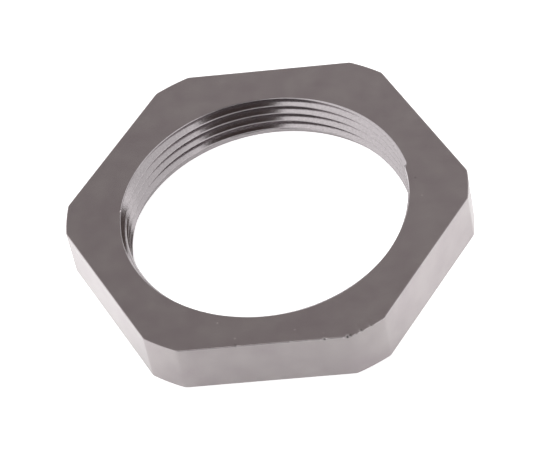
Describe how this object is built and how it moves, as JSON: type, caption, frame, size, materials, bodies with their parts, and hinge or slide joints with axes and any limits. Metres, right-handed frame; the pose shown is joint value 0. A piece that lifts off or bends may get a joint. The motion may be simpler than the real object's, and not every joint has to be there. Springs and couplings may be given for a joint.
{
  "type": "cable gland locknut",
  "caption": "Flat hexagon locknut with turned corners and a fine right-hand internal thread, for clamping a cable gland in a wall.",
  "frame": {"origin": "on the thread's axis, in the plane of the bottom face, which is the face with the plain relief", "axes": "+Z along the thread's axis towards the face where the thread starts at once, +X towards a turned corner, -Y and +Y out of two flats"},
  "size_m": [0.055, 0.05, 0.0076],
  "materials": {
    "nickel_plated_brass": "satin nickel plate over turned brass"
  },
  "bodies": {
    "root": {"locknut": "nickel_plated_brass"}
  },
  "joints": []
}
